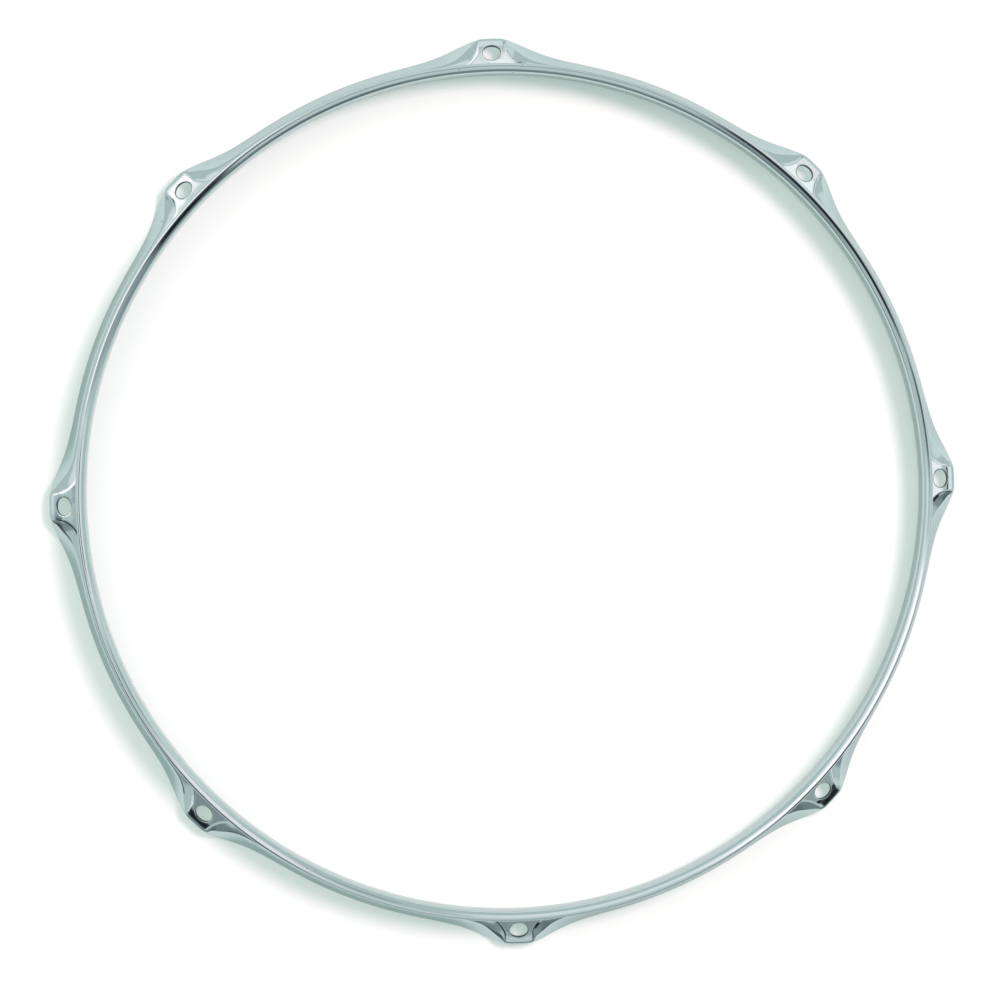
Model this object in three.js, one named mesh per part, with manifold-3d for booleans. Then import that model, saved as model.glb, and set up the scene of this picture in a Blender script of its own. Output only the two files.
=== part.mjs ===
import * as THREE from 'three';
import { mergeVertices } from 'three/addons/utils/BufferGeometryUtils.js';
import Module from 'manifold-3d';

// A flanged drum hoop: one strip of steel, rolled into a ring, welded at its ends and pressed.
// Lengths are in millimetres and +Z is up. The origin is the centre of the ring, on the surface
// that the skirt's rim stands on. The first ear points along +X.
//
// The pressed sheet is described by its outer face, walked in a radial cut from the rolled lip,
// down the upright wall, out along the shoulder and down the skirt to the rim. The lip is a tight
// bend at the wall that opens into a wide curve, level at the lip's cut edge. The inner face
// lies one sheet thickness behind it, square to the surface. At each ear the shoulder runs out
// flat and the skirt beside it rises to meet it, so the same strip is either skirt or ear.
// Between the ear's flat and the skirt, a cheek leans down on either side.

// Driving dimensions: the ring
const sheetThickness = 2.3;
const insideRadius = 180.5;
const hoopHeight = 25.4;
const lipWidth = 4.2;
const lipBendInside = 0.15;
const lipEdgeRound = 1.1;
const footBendRadius = 0.8;

// Driving dimensions: the shoulder and the skirt between the ears
const shoulderHeight = 10;
const shoulderFlat = 0.15;
const skirtBendInside = 0.15;
const skirtFlare = 3.25;
const rimRound = 0.4;

// Driving dimensions: the ears and their holes
const earCount = 8;
const holeSetback = 7.7;
const holeWidth = 7.8;
const holeDepth = 6.2;
const earNose = 6.8;
const earCornerInset = 3.95;
const earTipDrop = 1.6;
const earCheekDrop = 4.2;
const earEdgeRound = 1.5;

// How far each line of the ear keeps its full value along the hole circle, and where it has
// fallen to one half of it on the way to the skirt
const outlinePlateau = 3;
const outlineHalf = 16.6;
const cornerPlateau = 5.6;
const cornerHalf = 11.8;
const flatPlateau = 6;
const flatHalf = 9.1;
const dropPlateau = 5;
const dropHalf = 10.6;
const softPlateau = 6;
const softHalf = 11;
const earReach = 37;

// How steeply each of those lines falls; these are plain numbers, not lengths
const outlineSteepness = 1.8;
const cornerSteepness = 1.5;
const flatSteepness = 1.2;
const dropSteepness = 1.7;
const softSteepness = 2;
const earSoftShare = 0.65;

// How far the tight bend at the lip's root turns the sheet, as a share of a quarter turn
const lipBendShare = 0.53;

// How finely the sheet is drawn
const lipSteps = 2;
const lipBendSteps = 2;
const footSteps = 2;
const flatSteps = 2;
const bendSteps = 3;
const holeSides = 20;
const ringStepsBetweenEars = 2;
const earStationShares = [0, 0.135, 0.2, 0.255, 0.315, 0.395, 0.515, 0.7, 1];
const cutOverrun = 1;
const anglePinch = 0.0005;

// Sizes that follow from the driving dimensions
const wallOuterRadius = insideRadius + sheetThickness;
const holeCircleRadius = wallOuterRadius + holeSetback;
const lipBendTurn = lipBendShare * Math.PI / 2;
const lipBendCentre = wallOuterRadius + lipBendInside;
const lipCurveWidth = lipWidth - sheetThickness - lipBendInside * (1 - Math.cos(lipBendTurn));
const lipRadius = lipCurveWidth / Math.cos(lipBendTurn);
const lipShift = lipRadius - lipBendInside;
const lipCentreRadius = lipBendCentre + lipShift * Math.cos(lipBendTurn);
const lipCentreHeight = hoopHeight - sheetThickness - lipRadius;
const wallTopHeight = lipCentreHeight + lipShift * Math.sin(lipBendTurn);
const footCentreRadius = wallOuterRadius + footBendRadius;
const skirtBendLeg = sheetThickness + skirtBendInside;
const skirtBendStart = footCentreRadius + shoulderFlat;
const skirtCornerRadius = skirtBendStart + skirtBendLeg;
const rimRadius = skirtCornerRadius + skirtFlare;
const earTipRadius = holeCircleRadius + earNose;
const sectorAngle = 2 * Math.PI / earCount;
const skirtSoftShare = skirtBendLeg / Math.hypot(skirtFlare, shoulderHeight);

// 1 on the plateau, one half at the half distance, and fading to 0 beyond it
function earFade(distance, plateau, half, steepness) {
    const beyond = Math.max(0, distance - plateau) / (half - plateau);
    return 2 ** -(beyond ** steepness);
}

// The lines that shape the shoulder, the skirt and the ear, at a distance along the hole circle
// from the middle of the nearest ear
function flangeLines(distance) {
    const outline = earFade(distance, outlinePlateau, outlineHalf, outlineSteepness);
    const corner = earFade(distance, cornerPlateau, cornerHalf, cornerSteepness);
    const flat = earFade(distance, flatPlateau, flatHalf, flatSteepness);
    const rise = earFade(distance, dropPlateau, dropHalf, dropSteepness);
    const soft = earFade(distance, softPlateau, softHalf, softSteepness);
    return {
        flatEnd: THREE.MathUtils.lerp(skirtBendStart, holeCircleRadius, flat),
        corner: THREE.MathUtils.lerp(skirtCornerRadius, earTipRadius - earCornerInset, corner),
        edge: THREE.MathUtils.lerp(rimRadius, earTipRadius, outline),
        cheekDrop: earCheekDrop * corner * (1 - flat),
        drop: THREE.MathUtils.lerp(shoulderHeight, earTipDrop, rise),
        bendShare: THREE.MathUtils.lerp(skirtSoftShare, earSoftShare, soft),
        edgeRound: THREE.MathUtils.lerp(rimRound, earEdgeRound, rise),
        skirtShare: 1 - rise,
    };
}

// The outer face in a radial cut, as curves of (radius, height) from the lip to the rim
function outerFaceCurves(lines) {
    const wallTop = new THREE.Vector2(wallOuterRadius, wallTopHeight);
    const wallFoot = new THREE.Vector2(wallOuterRadius, shoulderHeight + footBendRadius);
    const shoulderStart = new THREE.Vector2(footCentreRadius, shoulderHeight);
    const flatEnd = new THREE.Vector2(lines.flatEnd, shoulderHeight);
    const corner = new THREE.Vector2(lines.corner, shoulderHeight - lines.cheekDrop);
    const edge = new THREE.Vector2(lines.edge, shoulderHeight - lines.drop);
    const bendEnd = corner.clone().lerp(edge, lines.bendShare);
    const lipArc = new THREE.EllipseCurve(
        lipCentreRadius, lipCentreHeight, lipRadius, lipRadius, Math.PI / 2, Math.PI - lipBendTurn,
    );
    const lipBendArc = new THREE.EllipseCurve(
        lipBendCentre, wallTopHeight, lipBendInside, lipBendInside, Math.PI - lipBendTurn, Math.PI,
    );
    const footArc = new THREE.EllipseCurve(
        footCentreRadius, wallFoot.y, footBendRadius, footBendRadius, Math.PI, 3 * Math.PI / 2,
    );
    return [
        { curve: lipArc, steps: lipSteps },
        { curve: lipBendArc, steps: lipBendSteps },
        { curve: new THREE.LineCurve(wallTop, wallFoot), steps: 1 },
        { curve: footArc, steps: footSteps },
        { curve: new THREE.LineCurve(shoulderStart, flatEnd), steps: flatSteps },
        { curve: new THREE.QuadraticBezierCurve(flatEnd, corner, bendEnd), steps: bendSteps },
        { curve: new THREE.LineCurve(bendEnd, edge), steps: 1 },
    ];
}

// Distance along the hole circle from the middle of the nearest ear
function distanceFromEar(angle) {
    const turns = angle / sectorAngle;
    return Math.abs(turns - Math.round(turns)) * sectorAngle * holeCircleRadius;
}

// The points of the outer face at an angle, in space, with the direction of the walk at each
function outerFaceWalk(angle) {
    const lines = flangeLines(distanceFromEar(angle));
    const radial = new THREE.Vector3(Math.cos(angle), Math.sin(angle), 0);
    const place = (flatPoint) => radial.clone().multiplyScalar(flatPoint.x).setZ(flatPoint.y);
    const walk = [];
    outerFaceCurves(lines).forEach(({ curve, steps }, curveIndex) => {
        for (let step = curveIndex === 0 ? 0 : 1; step <= steps; step += 1) {
            walk.push({
                point: place(curve.getPoint(step / steps)),
                along: place(curve.getTangent(step / steps)),
            });
        }
    });
    return { lines, walk };
}

// The closed outline of the sheet at an angle: outer face, rounded rim, inner face, rounded lip
function sheetOutline(angle) {
    const { lines, walk } = outerFaceWalk(angle);
    const before = outerFaceWalk(angle - anglePinch).walk;
    const after = outerFaceWalk(angle + anglePinch).walk;
    const outward = walk.map((stop, index) => {
        const around = after[index].point.clone().sub(before[index].point);
        return stop.along.clone().cross(around).normalize();
    });
    const pointAt = (index, depth, slide) => walk[index].point.clone()
        .addScaledVector(outward[index], -depth)
        .addScaledVector(walk[index].along, slide);

    const last = walk.length - 1;
    // The skirt's rim is cut level, and an ear's edge is cut square to the sheet
    const levelSlide = lines.skirtShare * outward[last].z / walk[last].along.z;
    const outline = [];
    for (let index = 0; index < last; index += 1) {
        outline.push(pointAt(index, 0, 0));
    }
    outline.push(pointAt(last, 0, -lines.edgeRound));
    outline.push(pointAt(last, lines.edgeRound, lines.edgeRound * levelSlide));
    outline.push(pointAt(last, sheetThickness, sheetThickness * levelSlide));
    for (let index = last - 1; index > 0; index -= 1) {
        outline.push(pointAt(index, sheetThickness, 0));
    }
    outline.push(pointAt(0, sheetThickness, lipEdgeRound));
    outline.push(pointAt(0, sheetThickness - lipEdgeRound, 0));
    return outline;
}

// The angles at which the sheet is cut, close together where an ear blends into the skirt
function stationAngles() {
    const reachAngle = earReach / holeCircleRadius;
    const halfSector = earStationShares.map((share) => share * reachAngle);
    for (let step = 1; step < ringStepsBetweenEars; step += 1) {
        const share = step / ringStepsBetweenEars;
        halfSector.push(THREE.MathUtils.lerp(reachAngle, sectorAngle / 2, share));
    }
    const sector = [...halfSector, sectorAngle / 2];
    sector.push(...halfSector.slice(1).reverse().map((angle) => sectorAngle - angle));
    const angles = [];
    for (let ear = 0; ear < earCount; ear += 1) {
        angles.push(...sector.map((angle) => angle + ear * sectorAngle));
    }
    return angles;
}

function pressedSheetGeometry() {
    const outlines = stationAngles().map(sheetOutline);
    const perOutline = outlines[0].length;
    const positions = outlines.flat().flatMap((point) => point.toArray());
    const indices = [];
    for (let station = 0; station < outlines.length; station += 1) {
        const here = station * perOutline;
        const next = (station + 1) % outlines.length * perOutline;
        for (let index = 0; index < perOutline; index += 1) {
            const further = (index + 1) % perOutline;
            indices.push(here + index, here + further, next + index);
            indices.push(next + index, here + further, next + further);
        }
    }
    const geometry = new THREE.BufferGeometry();
    geometry.setAttribute('position', new THREE.Float32BufferAttribute(positions, 3));
    geometry.setIndex(indices);
    return geometry;
}

// The punch for one ear's hole, drawn at its place on the hole circle
function holePunchGeometry(angle) {
    const outline = new THREE.Shape();
    const centreX = holeCircleRadius * Math.cos(angle);
    const centreY = holeCircleRadius * Math.sin(angle);
    outline.absellipse(centreX, centreY, holeDepth / 2, holeWidth / 2, 0, 2 * Math.PI, false, angle);
    const below = shoulderHeight - earTipDrop - sheetThickness - cutOverrun;
    const depth = shoulderHeight + cutOverrun - below;
    const geometry = new THREE.ExtrudeGeometry(outline, {
        depth,
        bevelEnabled: false,
        curveSegments: holeSides / 2,
    });
    geometry.translate(0, 0, below);
    return geometry;
}

const wasm = await Module();
wasm.setup();

function toSolid(geometry) {
    const bare = geometry.clone();
    bare.deleteAttribute('normal');
    bare.deleteAttribute('uv');
    const merged = mergeVertices(bare);
    return new wasm.Manifold(new wasm.Mesh({
        numProp: 3,
        vertProperties: new Float32Array(merged.attributes.position.array),
        triVerts: new Uint32Array(merged.index.array),
    }));
}

function toGeometry(solid) {
    const mesh = solid.getMesh();
    const geometry = new THREE.BufferGeometry();
    geometry.setAttribute('position', new THREE.Float32BufferAttribute(mesh.vertProperties, mesh.numProp));
    geometry.setIndex(Array.from(mesh.triVerts));
    geometry.computeVertexNormals();
    return geometry;
}

function punchedSheetGeometry() {
    let sheet = toSolid(pressedSheetGeometry());
    for (let ear = 0; ear < earCount; ear += 1) {
        sheet = sheet.subtract(toSolid(holePunchGeometry(ear * sectorAngle)));
    }
    return toGeometry(sheet);
}

const chrome = new THREE.MeshStandardMaterial({ color: 0xd3dadb, roughness: 0.08, metalness: 1 });
const hoop = new THREE.Mesh(punchedSheetGeometry(), chrome);
hoop.name = 'hoop';

const group = new THREE.Group();
group.add(hoop);

export default group;
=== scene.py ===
import math
from collections import namedtuple
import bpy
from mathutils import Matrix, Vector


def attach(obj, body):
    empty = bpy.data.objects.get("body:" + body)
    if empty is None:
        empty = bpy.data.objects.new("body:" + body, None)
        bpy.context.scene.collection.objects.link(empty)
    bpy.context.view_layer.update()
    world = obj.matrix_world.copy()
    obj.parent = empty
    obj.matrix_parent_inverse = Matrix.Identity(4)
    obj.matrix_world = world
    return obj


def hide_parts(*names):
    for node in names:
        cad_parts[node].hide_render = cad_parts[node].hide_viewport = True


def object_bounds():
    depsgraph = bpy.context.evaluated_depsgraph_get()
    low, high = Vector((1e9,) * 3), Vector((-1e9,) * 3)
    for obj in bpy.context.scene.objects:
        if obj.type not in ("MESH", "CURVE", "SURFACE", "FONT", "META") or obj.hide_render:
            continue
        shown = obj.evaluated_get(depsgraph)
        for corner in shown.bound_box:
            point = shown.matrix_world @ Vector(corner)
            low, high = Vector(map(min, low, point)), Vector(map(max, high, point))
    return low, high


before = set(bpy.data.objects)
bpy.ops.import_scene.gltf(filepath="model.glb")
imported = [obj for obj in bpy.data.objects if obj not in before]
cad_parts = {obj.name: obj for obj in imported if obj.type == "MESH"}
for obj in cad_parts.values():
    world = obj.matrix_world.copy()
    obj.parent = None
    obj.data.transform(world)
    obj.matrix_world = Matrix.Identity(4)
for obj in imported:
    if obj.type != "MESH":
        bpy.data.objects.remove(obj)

from types import SimpleNamespace

import bmesh
import bpy
from mathutils import Euler

CAD_BOX = [[float(c) for c in corner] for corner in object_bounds()]

bl_info = {
    "name": "Drum Hoop",
    "version": (1, 0, 0),
    "blender": (4, 5, 0),
    "location": "View3D > Sidebar > Drum Hoop",
    "description": "Presses a flanged steel drum hoop from a flat punched strip and lights it",
    "category": "Add Mesh",
}

MM = 0.001

# How steeply each line of an ear falls away on its way to the skirt
OUTLINE_STEEPNESS = 1.8
CORNER_STEEPNESS = 1.5
FLAT_STEEPNESS = 1.2
DROP_STEEPNESS = 1.7
SOFT_STEEPNESS = 2.0
EAR_SOFT_SHARE = 0.65

# Step used to feel the slope of the pressed sheet, and the distance within which copies are welded
FEELER = 0.05 * MM
WELD_DISTANCE = 0.002 * MM

# Parts of the rim's and of a hole's upper rounding that their lower edges are given
RIM_INNER_SHARE = 0.8
HOLE_LOWER_SHARE = 0.6

# Where the flange's ripples begin and reach their full height, outwards from the wall
RIPPLE_START = 1.7 * MM
RIPPLE_FULL = 4.7 * MM

# The picture's upward direction, as an angle round the hoop's axis in degrees
PICTURE_UP = 88.2

# The view, fitted to the holes, ears, skirt and lip in the picture
VIEW_LENS = 140.441
VIEW_SENSOR = 36.0
VIEW_SHIFT = (-0.06, -0.02)
VIEW_PLACE = (-84.328 * MM, 37.085 * MM, 1700 * MM)
VIEW_TURN_DEGREES = (-0.98491, -3.58665, -1.76505)
VIEW_NEAREST = 0.05
VIEW_FURTHEST = 50.0

# The floor lies this far below the rim, so that the two never share a plane
FLOOR_GAP = 0.02 * MM


class Wire:
    """An output socket that can stand in a Python sum. Each operator adds its Math node."""

    def __init__(self, bench, socket):
        self.bench = bench
        self.socket = socket

    def math(self, operation, *terms):
        values = dict(enumerate(terms or (self,)))
        return self.bench.node("ShaderNodeMath", {"operation": operation}, values)

    def __add__(self, other):
        return self.math("ADD", self, other)

    def __radd__(self, other):
        return self.math("ADD", other, self)

    def __sub__(self, other):
        return self.math("SUBTRACT", self, other)

    def __rsub__(self, other):
        return self.math("SUBTRACT", other, self)

    def __mul__(self, other):
        return self.math("MULTIPLY", self, other)

    def __rmul__(self, other):
        return self.math("MULTIPLY", other, self)

    def __truediv__(self, other):
        return self.math("DIVIDE", self, other)

    def __rtruediv__(self, other):
        return self.math("DIVIDE", other, self)

    def __pow__(self, other):
        return self.math("POWER", self, other)

    def __rpow__(self, other):
        return self.math("POWER", other, self)

    def __abs__(self):
        return self.math("ABSOLUTE")


class Bench:
    """A node tree that is being wired."""

    def __init__(self, tree):
        self.tree = tree

    @staticmethod
    def socket(sockets, key):
        if isinstance(key, int):
            return sockets[key]
        for socket in sockets:
            if socket.identifier == key:
                return socket
        return sockets[key]

    def node(self, kind, settings=None, values=None, out=0):
        """Adds a node, sets it up, fills or links its inputs and gives back one of its outputs."""
        made = self.tree.nodes.new(kind)
        count = len(self.tree.nodes)
        made.location = (count // 14 * 200, -(count % 14) * 180)
        for name, value in (settings or {}).items():
            setattr(made, name, value)
        for key, value in (values or {}).items():
            target = self.socket(made.inputs, key)
            if isinstance(value, Wire):
                self.tree.links.new(value.socket, target)
            else:
                target.default_value = value
        if not made.outputs:
            return made
        return Wire(self, self.socket(made.outputs, out))

    def ramp(self, value, low, high):
        """0 up to the low value, 1 from the high value on, and smooth between them."""
        return self.node("ShaderNodeMapRange", {"interpolation_type": "SMOOTHSTEP"}, {
            "Value": value, "From Min": low, "From Max": high, "To Min": 0.0, "To Max": 1.0,
        })

    def blend(self, share, colour, other):
        """One colour up to a share of 0, and the other from a share of 1 on."""
        return self.node("ShaderNodeMix", {"data_type": "RGBA"}, {
            "Factor_Float": share, "A_Color": colour, "B_Color": other,
        }, out="Result_Color")


def largest(a, b):
    return a.math("MAXIMUM", a, b) if isinstance(a, Wire) else max(a, b)


def smallest(a, b):
    return a.math("MINIMUM", a, b) if isinstance(a, Wire) else min(a, b)


def root(a):
    return a.math("SQRT") if isinstance(a, Wire) else math.sqrt(a)


def sine(a):
    return a.math("SINE") if isinstance(a, Wire) else math.sin(a)


def cosine(a):
    return a.math("COSINE") if isinstance(a, Wire) else math.cos(a)


def share_of(a):
    """a, kept between 0 and 1."""
    return smallest(largest(a, 0.0), 1.0)


def between(a, b, share):
    return a + (b - a) * share


def length(name, default, description):
    """A size in metres that the panel shows in the scene's units."""
    return bpy.props.FloatProperty(
        name=name, description=description, default=default, min=0.0,
        subtype="DISTANCE", unit="LENGTH", precision=5,
    )


class HoopSizes(bpy.types.PropertyGroup):
    """The hoop's sizes, which the pressing follows."""

    thickness: length("Sheet Thickness", 2.3 * MM, "Thickness of the steel strip")
    inside_radius: length("Inside Radius", 180.5 * MM, "From the axis to the wall's inner face")
    height: length("Height", 25.4 * MM, "From the rim to the top of the lip")
    lip_width: length("Lip Width", 4.2 * MM, "From the wall's inner face to the lip's edge")
    lip_bend_inside: length(
        "Lip Bend Inside", 0.15 * MM, "Inside radius of the bend at the lip's root",
    )
    lip_bend_turn: bpy.props.FloatProperty(
        name="Lip Bend Turn", description="How far the bend at the lip's root turns the sheet",
        subtype="ANGLE", unit="ROTATION", default=math.radians(47.7),
        min=math.radians(10), max=math.radians(80),
    )
    lip_edge_round: length("Lip Edge Round", 1.1 * MM, "Rounding of the lip's upper edge")
    foot_radius: length("Foot Bend Radius", 0.8 * MM, "Bend between the wall and the shoulder")
    shoulder_height: length("Shoulder Height", 10 * MM, "From the rim to the ears' flat faces")
    shoulder_flat: length("Shoulder Flat", 0.15 * MM, "Flat of the shoulder between the ears")
    bend_inside: length(
        "Skirt Bend Inside", 0.15 * MM, "What the skirt's bend takes beyond the sheet",
    )
    skirt_flare: length(
        "Skirt Flare", 3.25 * MM, "How far the rim stands out beyond the bend's corner",
    )
    rim_round: length("Rim Round", 0.4 * MM, "Rounding of the skirt's cut edge")
    hole_setback: length("Hole Setback", 7.7 * MM, "From the wall's outer face to a hole's middle")
    hole_width: length("Hole Width", 7.8 * MM, "A hole's size along the ring")
    hole_depth: length("Hole Depth", 6.2 * MM, "A hole's size across the ring")
    hole_round: length("Hole Edge Round", 0.3 * MM, "Rounding of a hole's upper edge")
    ear_nose: length("Ear Nose", 6.8 * MM, "From a hole's middle to the ear's outermost edge")
    ear_corner_inset: length("Ear Bend Inset", 3.95 * MM, "From the ear's edge in to its bend")
    ear_tip_drop: length("Ear Tip Drop", 1.6 * MM, "How far the ear's edge lies below its flat")
    ear_cheek_drop: length(
        "Ear Cheek Drop", 4.2 * MM, "How far the cheeks lean down beside the flat",
    )
    ear_edge_round: length("Ear Edge Round", 1.5 * MM, "Rounding of the ear's upper edge")
    outline_plateau: length("Outline Plateau", 3 * MM, "Half the width of the ear's blunt nose")
    outline_half: length("Outline Half", 16.6 * MM, "Where the outline is halfway to the skirt")
    corner_plateau: length(
        "Bend Plateau", 5.6 * MM, "Half the width over which the bend runs straight",
    )
    corner_half: length("Bend Half", 11.8 * MM, "Where the bend is halfway to the skirt's")
    flat_plateau: length("Flat Plateau", 6 * MM, "Half the width of the ear's full flat")
    flat_half: length("Flat Half", 9.1 * MM, "Where the flat is half as deep")
    drop_plateau: length("Drop Plateau", 5 * MM, "Half the width over which the edge stays high")
    drop_half: length("Drop Half", 10.6 * MM, "Where the edge is halfway down to the rim")
    soft_plateau: length(
        "Softness Plateau", 6 * MM, "Half the width over which the slope is a bend",
    )
    soft_half: length("Softness Half", 11 * MM, "Where the slope is half as soft")
    ear_count: bpy.props.IntProperty(
        name="Ears", description="Number of ears round the hoop", default=8, min=3, max=12,
    )


class ChromeLook(bpy.types.PropertyGroup):
    """The finish of the plating."""

    tint: bpy.props.FloatVectorProperty(
        name="Tint", description="Colour that the chrome gives to what it mirrors",
        subtype="COLOR", size=3, min=0.0, max=1.0, default=(0.47, 0.585, 0.583),
    )
    # Painted shade: a dark colour on the holes' walls, for the shaded floor that they mirror
    painted_shade_bore: bpy.props.FloatVectorProperty(
        name="Bore", description="Colour of the thinly plated walls of the holes",
        subtype="COLOR", size=3, min=0.0, max=1.0, default=(0.10, 0.125, 0.125),
    )
    glance_tint: bpy.props.FloatVectorProperty(
        name="Glancing Tint",
        description="Colour that the chrome gives to what it mirrors at a glance",
        subtype="COLOR", size=3, min=0.0, max=1.0, default=(0.74, 0.77, 0.77),
    )
    haze: bpy.props.FloatProperty(
        name="Haze", description="Roughness where the plating is at its dullest",
        subtype="FACTOR", min=0.0, max=1.0, default=0.16,
    )
    polish: bpy.props.FloatProperty(
        name="Polish", description="Roughness where the plating is at its brightest",
        subtype="FACTOR", min=0.0, max=1.0, default=0.055,
    )
    ripple: length("Ripple", 0.06 * MM, "Height of the waves that pressing leaves in the sheet")
    dirt: bpy.props.FloatVectorProperty(
        name="Dirt", description="Colour of the specks of dirt",
        subtype="COLOR", size=3, min=0.0, max=1.0, default=(0.05, 0.05, 0.045),
    )


class StageLook(bpy.types.PropertyGroup):
    """The floor, the light and the view."""

    floor_colour: bpy.props.FloatVectorProperty(
        name="Floor", description="Colour of the paper that the hoop lies on",
        subtype="COLOR", size=3, min=0.0, max=1.0, default=(0.65, 0.73, 0.71),
    )
    floor_grain: bpy.props.FloatVectorProperty(
        name="Floor Grain", description="Colour towards which the paper's grain varies",
        subtype="COLOR", size=3, min=0.0, max=1.0, default=(0.8, 0.82, 0.83),
    )
    floor_glow: bpy.props.FloatVectorProperty(
        name="Floor Glow", description="Light that the view and the chrome see on the paper",
        subtype="COLOR", size=3, min=0.0, max=1.0, default=(0.20, 0.25, 0.225),
    )
    floor_width: length("Floor Width", 6.0, "Side of the square floor")
    key_strength: bpy.props.FloatProperty(
        name="Key Strength", description="Power of the key light in watts", min=0.0, default=28.0,
    )
    key_colour: bpy.props.FloatVectorProperty(
        name="Key Colour", description="Colour of the key light",
        subtype="COLOR", size=3, min=0.0, max=1.0, default=(1.0, 0.67, 0.74),
    )
    key_azimuth: bpy.props.FloatProperty(
        name="Key Azimuth",
        description="Direction of the key light, clockwise from the picture's top",
        subtype="ANGLE", unit="ROTATION", default=math.radians(57),
    )
    key_aside: length("Key Aside", 0.83, "Distance of the key light from the hoop's axis")
    key_above: length("Key Above", 1.87, "Height of the key light above the floor")
    key_width: length("Key Width", 0.6, "Diameter of the key light")
    sky_strength: bpy.props.FloatProperty(
        name="Room Strength", description="Strength of the room's light", min=0.0, default=1.0,
    )


# The rule of the pressing. Each function takes plain numbers or wires.

def fade(distance, plateau, half, steepness):
    """1 on the plateau, one half at the half distance, and fading to 0 beyond it."""
    beyond = largest(distance - plateau, 0.0) / (half - plateau)
    return 0.5 ** (beyond ** steepness)


def wall_radius(sizes):
    return sizes.inside_radius + sizes.thickness


def hole_circle(sizes):
    return wall_radius(sizes) + sizes.hole_setback


def ear_lines(sizes, distance):
    """The lines that shape the flange at a distance from the middle of an ear, measured along
    the hole circle. Reaches are measured outwards from the foot of the wall."""
    outline = fade(distance, sizes.outline_plateau, sizes.outline_half, OUTLINE_STEEPNESS)
    corner = fade(distance, sizes.corner_plateau, sizes.corner_half, CORNER_STEEPNESS)
    flat = fade(distance, sizes.flat_plateau, sizes.flat_half, FLAT_STEEPNESS)
    rise = fade(distance, sizes.drop_plateau, sizes.drop_half, DROP_STEEPNESS)
    soft = fade(distance, sizes.soft_plateau, sizes.soft_half, SOFT_STEEPNESS)
    bend_leg = sizes.thickness + sizes.bend_inside
    skirt_corner = sizes.shoulder_flat + bend_leg
    hole_reach = sizes.hole_setback - sizes.foot_radius
    tip = hole_reach + sizes.ear_nose
    flare, shoulder = sizes.skirt_flare, sizes.shoulder_height
    slant = root(flare * flare + shoulder * shoulder)
    return SimpleNamespace(
        flat_end=between(sizes.shoulder_flat, hole_reach, flat),
        corner=between(skirt_corner, tip - sizes.ear_corner_inset, corner),
        edge=between(skirt_corner + sizes.skirt_flare, tip, outline),
        cheek=sizes.ear_cheek_drop * corner * (1 - flat),
        drop=between(sizes.shoulder_height, sizes.ear_tip_drop, rise),
        bend_share=between(bend_leg / slant, EAR_SOFT_SHARE, soft),
        edge_round=between(sizes.rim_round, sizes.ear_edge_round, rise),
        skirt_share=1 - rise,
    )


def fall(lines, reach):
    """How far the outer face lies below the shoulder: a flat, then a bend that starts as steep as
    the cheek leans, then a straight slope to the edge."""
    bend_end = between(lines.corner, lines.edge, lines.bend_share)
    bend_drop = between(lines.cheek, lines.drop, lines.bend_share)
    into_bend = largest(reach - lines.flat_end, 0.0)
    first = 2 * (lines.corner - lines.flat_end)
    second = lines.flat_end - 2 * lines.corner + bend_end
    under_root = largest(first * first + 4 * second * into_bend, 0.0)
    along_bend = smallest(2 * into_bend / (first + root(under_root)), 1.0)
    bend = 2 * along_bend * (1 - along_bend) * lines.cheek + along_bend * along_bend * bend_drop
    past_bend = largest(reach - bend_end, 0.0) / (lines.edge - bend_end)
    return bend + past_bend * (lines.drop - bend_drop)


# The blank: one ear's share of the flat strip, with its hole punched. It lies with x along the
# strip, y across it from the lip's edge to the rim, and z down through the sheet.

# How finely the blank is divided: rows of faces across the strip, steps round a cut edge, and
# rings of faces round the hole, which begin this far outside its rounding
LIP_TOP_ROWS = 8
LIP_BEND_ROWS = 6
WALL_ROWS = 2
FOOT_ROWS = 5
FLANGE_ROWS = 24
CORNER_STEPS = 4
PATCH_RINGS = 6
RING_CROWDING = 0.8
PATCH_MARGIN = 0.7 * MM

# Columns along half a strip: where each span ends and its number of columns, then the rest
COLUMN_SPANS = ((6.6 * MM, 11), (20 * MM, 20), (40 * MM, 13))
SKIRT_COLUMNS = 8


def lip_curve(sizes):
    """The radius of the lip's wide upper curve, and the height at which the wall ends below it.
    The radius is that of the outer face, which is the lip's underside."""
    bend = sizes.lip_bend_inside
    turned = cosine(sizes.lip_bend_turn)
    radius = (sizes.lip_width - sizes.thickness - bend * (1 - turned)) / turned
    top = sizes.height - sizes.thickness
    return radius, top - radius - (bend - radius) * sine(sizes.lip_bend_turn)


def strip_lengths(sizes):
    """Lengths of the lip's curve, the bend at its root, the wall and the foot's bend, measured
    along the outer face."""
    radius, wall_top = lip_curve(sizes)
    lip_top = radius * (math.pi / 2 - sizes.lip_bend_turn)
    lip_bend = sizes.lip_bend_inside * sizes.lip_bend_turn
    wall = wall_top - sizes.shoulder_height - sizes.foot_radius
    foot = sizes.foot_radius * (math.pi / 2)
    return lip_top, lip_bend, wall, foot


def column_places(sizes):
    """Places along the strip, close together across the ear."""
    half = math.pi / sizes.ear_count * hole_circle(sizes)
    places, start = [0.0], 0.0
    for end, steps in (*COLUMN_SPANS, (half, SKIRT_COLUMNS)):
        places += [start + (end - start) * (step + 1) / steps for step in range(steps)]
        start = end
    return [-place for place in reversed(places[1:])] + places


def rounded_corner(radius):
    """Pairs of (back from the edge, down from the face) round a quarter circle."""
    turns = [math.pi / 2 * step / CORNER_STEPS for step in range(CORNER_STEPS + 1)]
    return [(radius * (1 - math.sin(turn)), radius * (1 - math.cos(turn))) for turn in turns]


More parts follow.
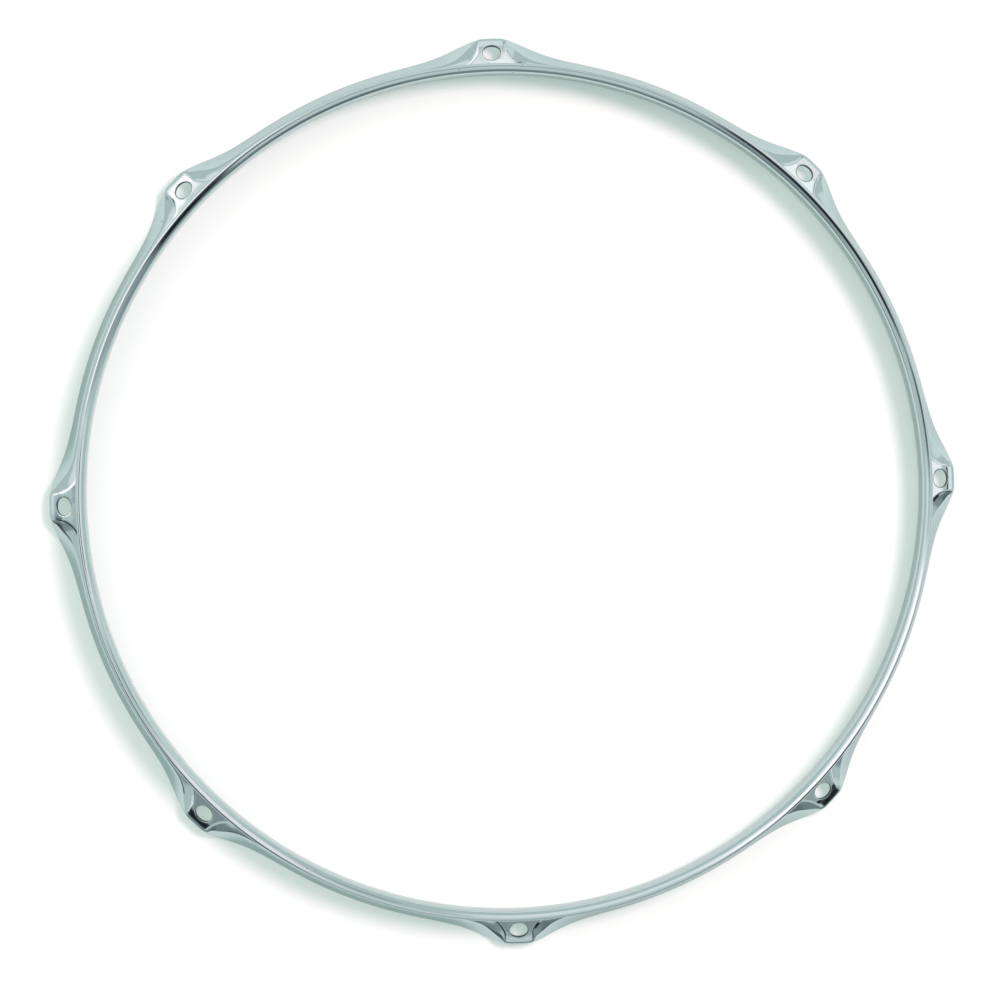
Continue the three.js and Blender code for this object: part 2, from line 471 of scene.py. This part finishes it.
def rim_corners(sizes, place):
    """The rounded cut edge at a place along the strip, as (y, z), outer face to inner face."""
    lines = ear_lines(sizes, abs(place))
    slope = (fall(lines, lines.edge) - fall(lines, lines.edge - FEELER)) / FEELER
    after = fall(ear_lines(sizes, abs(place) + FEELER), lines.edge)
    before = fall(ear_lines(sizes, abs(place) - FEELER), lines.edge)
    sideways = (after - before) / (2 * FEELER)
    run = 1 / math.hypot(1, slope)
    upright = 1 / math.sqrt(1 + slope * slope + sideways * sideways)
    level_cut = -lines.skirt_share * upright / (slope * run)
    thickness = sizes.thickness
    inner_round = rounded_corner(sizes.rim_round * RIM_INNER_SHARE)
    points = rounded_corner(lines.edge_round)
    points += [(back, thickness - down) for back, down in reversed(inner_round)]
    return [(lines.edge + run * (down * level_cut - back), -down) for back, down in points]


def lip_corners(sizes, start):
    """The lip's rounded cut edge, as (y, z) from the inner to the outer face."""
    curve, _ = lip_curve(sizes)
    points = [(back, sizes.thickness - down) for back, down in rounded_corner(sizes.lip_edge_round)]
    points += [(back, down) for back, down in reversed(rounded_corner(sizes.rim_round))]
    return [(start + back * curve / (curve + down), -down) for back, down in points]


def strip_section(sizes, place):
    """One closed cut across the strip, and where its two flanges start in that list."""
    lip_top, lip_bend, wall, foot = strip_lengths(sizes)
    edge = lip_corners(sizes, -(lip_top + lip_bend + wall + foot))
    rim = rim_corners(sizes, place)

    def rows(start, end, count):
        return [start + (end - start) * (row + 1) / count for row in range(count)]

    def face(lip_start, flange_end):
        bend_start = -(lip_bend + wall + foot)
        return (
            [lip_start] + rows(lip_start, bend_start, LIP_TOP_ROWS)
            + rows(bend_start, -(wall + foot), LIP_BEND_ROWS)
            + rows(-(wall + foot), -foot, WALL_ROWS)
            + rows(-foot, 0.0, FOOT_ROWS) + rows(0.0, flange_end, FLANGE_ROWS)
        )

    outer = [(y, 0.0) for y in face(edge[-1][0], rim[0][0])]
    inner = [(y, -sizes.thickness) for y in reversed(face(edge[0][0], rim[-1][0]))]
    section = outer + rim[1:-1] + inner + edge[1:-1]
    outer_flange = LIP_TOP_ROWS + LIP_BEND_ROWS + WALL_ROWS + FOOT_ROWS
    inner_flange = len(outer) + len(rim) - 2 + FLANGE_ROWS
    return section, outer_flange, inner_flange


def hole_rings(sizes, around):
    """Rings of points from the outer face down through the hole to the inner face."""
    middle = sizes.hole_setback - sizes.foot_radius
    angles = [
        math.atan2(x / sizes.hole_width, (y - middle) / sizes.hole_depth)
        for x, y, _ in around["outer"]
    ]

    def ring(grown, down):
        return [
            (
                (sizes.hole_width / 2 + grown) * math.sin(angle),
                middle + (sizes.hole_depth / 2 + grown) * math.cos(angle),
                -down,
            )
            for angle in angles
        ]

    def spread(far, near):
        rings = []
        for step in range(1, PATCH_RINGS):
            share = (step / PATCH_RINGS) ** RING_CROWDING
            rings.append([
                tuple(between(a, b, share) for a, b in zip(start, end))
                for start, end in zip(far, near)
            ])
        return rings

    upper = [ring(back, down) for back, down in rounded_corner(sizes.hole_round)]
    lower_round = rounded_corner(sizes.hole_round * HOLE_LOWER_SHARE)
    lower = [ring(back, sizes.thickness - down) for back, down in lower_round]
    lower.reverse()
    return (
        spread(around["outer"], upper[0]) + upper + lower
        + list(reversed(spread(around["inner"], lower[-1])))
    )


def punch_blank(sizes):
    """One ear's share of the strip as a mesh, closed but for its two ends."""
    places = column_places(sizes)
    sections = [strip_section(sizes, place) for place in places]
    _, outer_flange, inner_flange = sections[0]
    per_section = len(sections[0][0])

    middle_column = len(places) // 2
    half_columns = COLUMN_SPANS[0][1]
    first_column, last_column = middle_column - half_columns, middle_column + half_columns
    row_step = sections[middle_column][0][outer_flange + FLANGE_ROWS][0] / FLANGE_ROWS
    middle = sizes.hole_setback - sizes.foot_radius
    clear = sizes.hole_depth / 2 + sizes.hole_round + PATCH_MARGIN
    first_row = math.floor((middle - clear) / row_step)
    last_row = math.ceil((middle + clear) / row_step)
    if first_row < 1 or last_row > FLANGE_ROWS - 1:
        raise RuntimeError("The hole is too deep for the ear.")

    def inside(column, row):
        return first_column < column < last_column and first_row < row < last_row

    def flange_row(index):
        if outer_flange <= index <= outer_flange + FLANGE_ROWS:
            return index - outer_flange
        if inner_flange - FLANGE_ROWS <= index <= inner_flange:
            return inner_flange - index
        return -1

    mesh = bmesh.new()
    grid = {}
    for column, place in enumerate(places):
        for index, (y, z) in enumerate(sections[column][0]):
            if not inside(column, flange_row(index)):
                grid[column, index] = mesh.verts.new((place, y, z))

    for column in range(len(places) - 1):
        for index in range(per_section):
            onward = (index + 1) % per_section
            corners = ((column, index), (column, onward), (column + 1, onward), (column + 1, index))
            rows = (flange_row(index), flange_row(onward))
            punched = (
                first_column <= column < last_column
                and min(rows) >= first_row and max(rows) <= last_row
            )
            if not punched:
                mesh.faces.new([grid[corner] for corner in corners])

    steps_down = range(first_row, last_row)
    steps_across = range(first_column, last_column)
    border = (
        [(first_column, row) for row in steps_down]
        + [(column, last_row) for column in steps_across]
        + [(last_column, row + 1) for row in reversed(steps_down)]
        + [(column + 1, first_row) for column in reversed(steps_across)]
    )
    borders = {
        "outer": [grid[column, outer_flange + row] for column, row in border],
        "inner": [grid[column, inner_flange - row] for column, row in border],
    }
    around = {face: [tuple(vert.co) for vert in verts] for face, verts in borders.items()}
    rings = [borders["outer"]]
    rings += [[mesh.verts.new(point) for point in ring] for ring in hole_rings(sizes, around)]
    rings.append(borders["inner"])
    for upper, lower in zip(rings, rings[1:]):
        for index in range(len(border)):
            onward = (index + 1) % len(border)
            mesh.faces.new((upper[index], upper[onward], lower[onward], lower[index]))

    blank = bpy.data.meshes.new("punched_blank")
    mesh.to_mesh(blank)
    mesh.free()
    return blank


def press_tree(material):
    """The press: it rolls and bends the flat blank, and repeats it round the ring."""
    tree = bpy.data.node_groups.new("press_hoop", "GeometryNodeTree")
    tree.interface.new_socket("Blank", in_out="INPUT", socket_type="NodeSocketGeometry")
    identifiers = {}
    for name, prop in HoopSizes.bl_rna.properties.items():
        if name in HoopSizes.__annotations__:
            kind = "NodeSocketInt" if prop.type == "INT" else "NodeSocketFloat"
            socket = tree.interface.new_socket(prop.name, in_out="INPUT", socket_type=kind)
            socket.description = prop.description
            socket.default_value = prop.default
            identifiers[name] = socket.identifier
    tree.interface.new_socket("Hoop", in_out="OUTPUT", socket_type="NodeSocketGeometry")

    bench = Bench(tree)
    entry = tree.nodes.new("NodeGroupInput")
    sizes = SimpleNamespace(**{
        name: Wire(bench, bench.socket(entry.outputs, identifier))
        for name, identifier in identifiers.items()
    })
    place = bench.node("GeometryNodeInputPosition")
    split = bench.node("ShaderNodeSeparateXYZ", values={0: place})
    along = split
    across = Wire(bench, split.socket.node.outputs[1])
    depth = Wire(bench, split.socket.node.outputs[2]) * -1.0

    lip_top, lip_bend, wall, foot = strip_lengths(sizes)
    top_left = 1.0 - share_of((across + (lip_top + lip_bend + wall + foot)) / lip_top)
    bend_left = 1.0 - share_of((across + (lip_bend + wall + foot)) / lip_bend)
    wall_done = smallest(largest(across + (wall + foot), 0.0), wall)
    foot_share = share_of((across + foot) / foot)
    reach = largest(across, 0.0)

    distance = abs(along)
    here = ear_lines(sizes, distance)
    steep = (fall(here, reach + FEELER) - fall(here, reach - FEELER)) / (2 * FEELER)
    after = fall(ear_lines(sizes, distance + FEELER), reach)
    before = fall(ear_lines(sizes, distance - FEELER), reach)

    bend_turn = bend_left * sizes.lip_bend_turn
    lip_turn = bend_turn + top_left * (math.pi / 2 - sizes.lip_bend_turn)
    foot_turn = foot_share * (math.pi / 2)
    curve, _ = lip_curve(sizes)
    tighter = sizes.lip_bend_inside - curve
    radius = (
        wall_radius(sizes) + tighter * (1.0 - cosine(bend_turn)) + curve * (1.0 - cosine(lip_turn))
        + sizes.foot_radius * (1.0 - cosine(foot_turn)) + reach
    )
    height = (
        sizes.shoulder_height + sizes.foot_radius * (1.0 - sine(foot_turn)) + (wall - wall_done)
        + tighter * sine(bend_turn) + curve * sine(lip_turn) - fall(here, reach)
    )
    sideways = (after - before) / (2 * FEELER) * along.math("SIGN") * hole_circle(sizes) / radius

    facing = foot_turn - lip_turn
    outwards = cosine(facing) + steep
    upwards = sine(facing)
    scale = depth / root(outwards * outwards + upwards * upwards + sideways * sideways)
    radial = radius - outwards * scale
    tangential = sideways * scale * -1.0
    turn = along / hole_circle(sizes)
    pressed = bench.node("ShaderNodeCombineXYZ", values={
        0: radial * cosine(turn) - tangential * sine(turn),
        1: radial * sine(turn) + tangential * cosine(turn),
        2: height - upwards * scale,
    })

    shaped = bench.node("GeometryNodeSetPosition", values={
        "Geometry": Wire(bench, entry.outputs[0]), "Position": pressed,
    })
    single = bench.node("GeometryNodeGeometryToInstance", values={0: shaped})
    copies = bench.node("GeometryNodeDuplicateElements", {"domain": "INSTANCE"}, {
        "Geometry": single, "Amount": sizes.ear_count,
    })
    number = Wire(bench, copies.socket.node.outputs["Duplicate Index"])
    spin = bench.node("ShaderNodeCombineXYZ", values={2: number * (2 * math.pi) / sizes.ear_count})
    ring = bench.node("GeometryNodeRotateInstances", values={
        "Instances": copies, "Rotation": spin, "Local Space": False,
    })
    real = bench.node("GeometryNodeRealizeInstances", values={0: ring})
    welded = bench.node("GeometryNodeMergeByDistance", values={
        "Geometry": real, "Distance": WELD_DISTANCE,
    })
    smooth = bench.node("GeometryNodeSetShadeSmooth", values={"Geometry": welded})
    plated = bench.node("GeometryNodeSetMaterial", values={
        "Geometry": smooth, "Material": material,
    })
    leave = tree.nodes.new("NodeGroupOutput")
    tree.links.new(plated.socket, leave.inputs[0])
    return tree, identifiers


# The marks on the chrome: scale, detail and roughness of a noise, and the values of the noise at
# which a mark begins and at which it is full
Marks = namedtuple("Marks", "scale detail roughness begin full")
HAIRLINES = Marks(34.0, 3.0, 0.6, 0.56, 0.74)
SMUDGES = Marks(55.0, 4.0, 0.62, 0.46, 0.72)
WIPES = Marks(170.0, 3.0, 0.55, 0.5, 0.8)
SPECKS = Marks(900.0, 0.0, 0.5, 0.83, 0.86)
DIRTY_AREAS = Marks(26.0, 2.0, 0.6, 0.52, 0.6)

# How fast the hairlines follow each other across the sheet, how much of that the wall's height
# takes up, and what each kind of mark adds to the haze
HAIRLINES_ACROSS = 2600.0
HAIRLINE_LEAN = 0.7
SMUDGE_SHARE = 0.55
WIPE_SHARE = 0.25
HAIRLINE_SHARE = 0.35

# How much of the haze shows in the colour, and how it takes the red, green and blue down
HAZE_TINT_SHARE = 0.35
HAZE_TINT = (0.9, 0.92, 0.94)

# Where the painted shade on a hole's wall ends, in shares of the hole's half size, and how much
# rougher the wall is
BORE_END = 1.01
BORE_FADED = 1.09
BORE_ROUGHNESS = 0.25

# How much of the metal a speck of dirt hides, and how much rougher it is
SPECK_COVER = 0.9
SPECK_ROUGHNESS = 0.4

# The ripples of the pressed sheet: scale, detail and roughness of each noise, and their heights
# in shares of the look's ripple. The wall and the lip keep a part of the flange's ripples.
BROAD_RIPPLE = (75.0, 1.0, 0.4)
NARROW_RIPPLE = (210.0, 0.0, 0.5)
NARROW_RIPPLE_SHARE = 0.3
WALL_RIPPLE_SHARE = 0.2
FINE_RIPPLE = (1500.0, 1.0, 0.5)
FINE_RIPPLE_SHARE = 0.006
HAIRLINE_RIPPLE_SHARE = 0.02


def chrome_material(look, sizes):
    """Bright chrome over pressed steel: faint haze, hairline polish marks, ripples and specks. The
    walls of the punched holes are rougher and darkened with painted shade."""
    material = bpy.data.materials.new("hoop_chrome")
    material.use_nodes = True
    tree = material.node_tree
    tree.nodes.clear()
    bench = Bench(tree)
    place = bench.node("ShaderNodeTexCoord", out="Object")
    split = bench.node("ShaderNodeSeparateXYZ", values={0: place})
    x, y, z = (Wire(bench, split.socket.node.outputs[axis]) for axis in range(3))
    radius = root(x * x + y * y)

    def noise(scale, detail, roughness, dimensions="3D", **values):
        return bench.node(
            "ShaderNodeTexNoise", {"noise_dimensions": dimensions},
            {"Vector": place, "Scale": scale, "Detail": detail, "Roughness": roughness, **values},
        )

    def strewn(marks, dimensions="3D", **values):
        pattern = noise(marks.scale, marks.detail, marks.roughness, dimensions, **values)
        return bench.ramp(pattern, marks.begin, marks.full)

    # Hairlines from polishing run round the ring, so they vary fast across it and slowly along it
    across = (radius - z * HAIRLINE_LEAN) * HAIRLINES_ACROSS
    hairlines = strewn(HAIRLINES, "4D", W=across)
    smudges = strewn(SMUDGES)
    wipes = strewn(WIPES)
    haze = share_of(smudges * SMUDGE_SHARE + wipes * WIPE_SHARE + hairlines * HAIRLINE_SHARE)

    # 1 on the wall of the nearest hole, in shares of the hole's half width and half depth
    sector = 2 * math.pi / sizes.ear_count
    angle = y.math("ARCTAN2", y, x)
    from_ear = angle - (angle / sector).math("ROUND") * sector
    beside = radius * sine(from_ear) / (sizes.hole_width / 2)
    beyond = (radius * cosine(from_ear) - hole_circle(sizes)) / (sizes.hole_depth / 2)
    # The holes' walls, which get painted shade and more roughness
    painted_shade_bore = 1.0 - bench.ramp(root(beside * beside + beyond * beyond), BORE_END, BORE_FADED)
    speck = strewn(SPECKS) * strewn(DIRTY_AREAS)

    hazy_tint = [clean * dulling for clean, dulling in zip(look.tint, HAZE_TINT)]
    tinted = bench.blend(haze * HAZE_TINT_SHARE, (*look.tint, 1.0), (*hazy_tint, 1.0))
    coloured = bench.blend(speck, tinted, (*look.dirt, 1.0))
    # Painted shade on the holes' walls
    with_painted_shade = bench.blend(painted_shade_bore, coloured, (*look.painted_shade_bore, 1.0))

    wall = wall_radius(sizes)
    on_flange = bench.ramp(radius, wall + RIPPLE_START, wall + RIPPLE_FULL)
    ripple = (
        (noise(*BROAD_RIPPLE) + noise(*NARROW_RIPPLE) * NARROW_RIPPLE_SHARE)
        * (on_flange * (1.0 - WALL_RIPPLE_SHARE) + WALL_RIPPLE_SHARE)
    )
    fine = hairlines * HAIRLINE_RIPPLE_SHARE + noise(*FINE_RIPPLE) * FINE_RIPPLE_SHARE
    uneven = bench.node("ShaderNodeBump", values={
        "Strength": 1.0, "Distance": look.ripple, "Height": ripple + fine,
    })
    roughness = (
        between(look.polish, look.haze, haze) + speck * SPECK_ROUGHNESS + painted_shade_bore * BORE_ROUGHNESS
    )
    surface = bench.node("ShaderNodeBsdfPrincipled", values={
        "Base Color": with_painted_shade,
        "Metallic": share_of(1.0 - speck * SPECK_COVER),
        "Roughness": roughness,
        "Specular Tint": (*look.glance_tint, 1.0),
        "Normal": uneven,
    })
    bench.node("ShaderNodeOutputMaterial", values={"Surface": surface})
    return material


class DRUMHOOP_OT_press(bpy.types.Operator):
    """Punch a flat blank, press it into the hoop and give it its chrome"""

    bl_idname = "drumhoop.press"
    bl_label = "Press Hoop"

    def execute(self, context):
        sizes = context.scene.hoop_sizes
        material = chrome_material(context.scene.chrome_look, sizes)
        blank = bpy.data.objects.new("punched_blank", punch_blank(sizes))
        context.scene.collection.objects.link(blank)
        tree, identifiers = press_tree(material)
        press = blank.modifiers.new("Press", "NODES")
        press.node_group = tree
        for name, identifier in identifiers.items():
            press[identifier] = getattr(sizes, name)
        pressed = blank.evaluated_get(context.evaluated_depsgraph_get())
        mesh = bpy.data.meshes.new_from_object(pressed)
        mesh.name = "hoop_chrome"
        hoop = bpy.data.objects.new("hoop_chrome", mesh)
        context.scene.collection.objects.link(hoop)
        flat = blank.data
        bpy.data.objects.remove(blank)
        bpy.data.meshes.remove(flat)

        check = bmesh.new()
        check.from_mesh(mesh)
        closed = all(edge.is_manifold for edge in check.edges)
        volume = check.calc_volume(signed=True)
        check.free()
        if not closed or volume <= 0:
            raise RuntimeError(f"The pressed hoop isn't a closed body facing outwards: {volume}")
        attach(hoop, "root")
        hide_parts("hoop")
        return {"FINISHED"}


# What the chrome mirrors: each patch of the room is a middle azimuth and half its width, clockwise
# from the picture's top, its lowest and highest elevation, the softness of its border, all in
# degrees, and its colour. A later patch lies over an earlier one.
ROOM_COLOUR = (0.80, 0.83, 0.83)
ROOM_PATCHES = (
    ("shaded_side", (171, 60), (-9, 120), 7, (0.41, 0.43, 0.46)),
    ("shaded_floor_line", (172, 41), (-9, 32), 8, (0.33, 0.36, 0.38)),
    ("shaded_corner", (113, 8), (40, 66), 5, (0.55, 0.58, 0.60)),
    ("skirting_left", (223, 28), (-2, 11), 4, (0.10, 0.12, 0.13)),
    ("skirting_right", (150, 15), (-2, 11), 4, (0.17, 0.19, 0.20)),
    ("shelf", (45, 26), (37, 45), 2, (0.36, 0.39, 0.40)),
    ("sunny_wall", (61, 17), (0, 28), 6, (1.12, 1.12, 1.12)),
    ("lit_wall", (170, 38), (33, 64), 7, (0.95, 0.93, 0.93)),
    ("wall_top", (163, 50), (64, 77), 5, (0.60, 0.62, 0.64)),
    ("ceiling_right", (65, 43), (76, 120), 8, (1.80, 1.58, 1.58)),
    ("ceiling_ahead", (0, 22), (70, 120), 8, (0.98, 0.98, 0.96)),
    ("ceiling_corner", (130, 18), (75, 120), 6, (0.56, 0.58, 0.60)),
    ("ceiling_left", (266, 14), (74, 120), 6, (0.97, 1.03, 1.10)),
    ("lit_wall_ahead", (346, 24), (33, 62), 4, (1.28, 1.20, 1.20)),
    ("window_sill", (289, 25), (30, 52), 4, (1.22, 1.16, 1.16)),
    ("window", (306, 28), (49, 120), 7, (2.15, 1.80, 1.80)),
    ("lit_corner", (46, 13), (38, 76), 7, (1.50, 1.30, 1.32)),
    ("lit_shelf_end", (88, 13), (38, 60), 5, (1.40, 1.28, 1.30)),
    ("doorway_top", (133, 12), (57, 69), 3, (0.012, 0.015, 0.017)),
    ("doorway", (130.5, 7), (26, 57), 2.5, (0.015, 0.018, 0.02)),
    ("dark_cupboard", (224, 20), (44, 68), 4, (0.022, 0.03, 0.036)),
    ("table_edge", (152, 9), (6, 32), 6, (0.24, 0.27, 0.28)),
    ("lamp_arm", (90, 8), (54, 60), 2, (0.03, 0.035, 0.035)),
    ("chair_back", (255, 8), (53, 79), 4, (0.17, 0.20, 0.22)),
    ("hook", (61, 3), (62, 67), 2, (0.08, 0.09, 0.09)),
)


def room_world(look):
    """The room round the hoop: pale walls with a shaded side, a window and a few dark things."""
    world = bpy.data.worlds.new("room")
    world.use_nodes = True
    tree = world.node_tree
    tree.nodes.clear()
    bench = Bench(tree)
    direction = bench.node("ShaderNodeTexCoord", out="Generated")
    split = bench.node("ShaderNodeSeparateXYZ", values={0: direction})
    x, y, z = (Wire(bench, split.socket.node.outputs[axis]) for axis in range(3))
    degree = 180 / math.pi
    elevation = z.math("ARCSINE") * degree
    azimuth = PICTURE_UP - y.math("ARCTAN2", y, x) * degree

    def band(value, low, high, soft):
        from_low = bench.ramp(value, low - soft, low + soft)
        return from_low * (1.0 - bench.ramp(value, high - soft, high + soft))

    room = (*ROOM_COLOUR, 1.0)
    for _, (middle, half), (low, high), soft, colour in ROOM_PATCHES:
        # Turned until the patch is in the middle of the circle, and two circles on, to stay above 0
        onward = azimuth - middle + 900.0
        turned = onward.math("MODULO", onward, 360.0) - 180.0
        mask = band(turned, -half, half, soft) * band(elevation, low, high, soft)
        room = bench.blend(mask, room, (*colour, 1.0))
    back = bench.node("ShaderNodeBackground", values={"Color": room, "Strength": look.sky_strength})
    bench.node("ShaderNodeOutputWorld", values={"Surface": back})
    return world


# The paper's grain: scale and detail of its noise, and how much of it shows in the colour. Then
# how matt the paper is, and how much it shines.
GRAIN_SCALE = 3.0
GRAIN_DETAIL = 3.0
GRAIN_SHARE = 0.06
PAPER_ROUGHNESS = 0.75
PAPER_SHINE = 0.2


def floor_material(look):
    """Pale paper. The camera and the chrome see it a little lighter than it is lit, so that it
    reads as white around the hoop's shadow."""
    material = bpy.data.materials.new("white_paper")
    material.use_nodes = True
    tree = material.node_tree
    tree.nodes.clear()
    bench = Bench(tree)
    rays = bench.node("ShaderNodeLightPath", out="Is Camera Ray")
    seen = share_of(rays + Wire(bench, rays.socket.node.outputs["Is Glossy Ray"]))
    place = bench.node("ShaderNodeTexCoord", out="Object")
    grain = bench.node("ShaderNodeTexNoise", values={
        "Vector": place, "Scale": GRAIN_SCALE, "Detail": GRAIN_DETAIL,
    })
    paper = bench.blend(grain * GRAIN_SHARE, (*look.floor_colour, 1.0), (*look.floor_grain, 1.0))
    glow = bench.blend(seen, (0.0, 0.0, 0.0, 1.0), (*look.floor_glow, 1.0))
    surface = bench.node("ShaderNodeBsdfPrincipled", values={
        "Base Color": paper, "Roughness": PAPER_ROUGHNESS, "Specular IOR Level": PAPER_SHINE,
        "Emission Color": glow, "Emission Strength": 1.0,
    })
    bench.node("ShaderNodeOutputMaterial", values={"Surface": surface})
    return material


class DRUMHOOP_OT_stage(bpy.types.Operator):
    """Lay the white floor, light the room and set up the view from above"""

    bl_idname = "drumhoop.stage"
    bl_label = "Set Stage"

    def execute(self, context):
        scene = context.scene
        look = scene.stage_look
        half = look.floor_width / 2
        sheet = bpy.data.meshes.new("floor")
        below = CAD_BOX[0][2] - FLOOR_GAP
        corners = ((-half, -half), (half, -half), (half, half), (-half, half))
        sheet.from_pydata([(x, y, below) for x, y in corners], [], [(0, 1, 2, 3)])
        sheet.materials.append(floor_material(look))
        floor = bpy.data.objects.new("floor", sheet)
        scene.collection.objects.link(floor)

        scene.world = room_world(look)
        lamp = bpy.data.lights.new("key", "AREA")
        lamp.shape = "DISK"
        lamp.size = look.key_width
        lamp.energy = look.key_strength
        lamp.color = look.key_colour
        key = bpy.data.objects.new("key", lamp)
        scene.collection.objects.link(key)
        turn = math.radians(PICTURE_UP) - look.key_azimuth
        key.location = (
            look.key_aside * math.cos(turn), look.key_aside * math.sin(turn), look.key_above,
        )
        key.rotation_euler = Euler((0.0, math.atan2(look.key_aside, look.key_above), turn))
        key.visible_glossy = False

        lens = bpy.data.cameras.new("view")
        lens.lens = VIEW_LENS
        lens.sensor_width = VIEW_SENSOR
        lens.shift_x, lens.shift_y = VIEW_SHIFT
        lens.clip_start = VIEW_NEAREST
        lens.clip_end = VIEW_FURTHEST
        view = bpy.data.objects.new("view", lens)
        scene.collection.objects.link(view)
        view.location = VIEW_PLACE
        view.rotation_euler = Euler([math.radians(turn) for turn in VIEW_TURN_DEGREES])
        scene.camera = view
        scene.view_settings.view_transform = "Standard"
        return {"FINISHED"}


class DRUMHOOP_PT_panel(bpy.types.Panel):
    """Sizes, finish and stage of the drum hoop"""

    bl_idname = "DRUMHOOP_PT_panel"
    bl_label = "Drum Hoop"
    bl_space_type = "VIEW_3D"
    bl_region_type = "UI"
    bl_category = "Drum Hoop"

    def draw(self, context):
        scene = context.scene
        for owner, operator in (
            (scene.hoop_sizes, None),
            (scene.chrome_look, DRUMHOOP_OT_press.bl_idname),
            (scene.stage_look, DRUMHOOP_OT_stage.bl_idname),
        ):
            column = self.layout.column(align=True)
            for name in type(owner).__annotations__:
                column.prop(owner, name)
            if operator:
                self.layout.operator(operator)


CLASSES = (
    HoopSizes,
    ChromeLook,
    StageLook,
    DRUMHOOP_OT_press,
    DRUMHOOP_OT_stage,
    DRUMHOOP_PT_panel,
)


def register():
    for cls in CLASSES:
        bpy.utils.register_class(cls)
    bpy.types.Scene.hoop_sizes = bpy.props.PointerProperty(type=HoopSizes)
    bpy.types.Scene.chrome_look = bpy.props.PointerProperty(type=ChromeLook)
    bpy.types.Scene.stage_look = bpy.props.PointerProperty(type=StageLook)


def unregister():
    del bpy.types.Scene.stage_look
    del bpy.types.Scene.chrome_look
    del bpy.types.Scene.hoop_sizes
    for cls in reversed(CLASSES):
        bpy.utils.unregister_class(cls)


def main():
    register()
    bpy.ops.drumhoop.press()
    bpy.ops.drumhoop.stage()


if __name__ == "__main__":
    main()
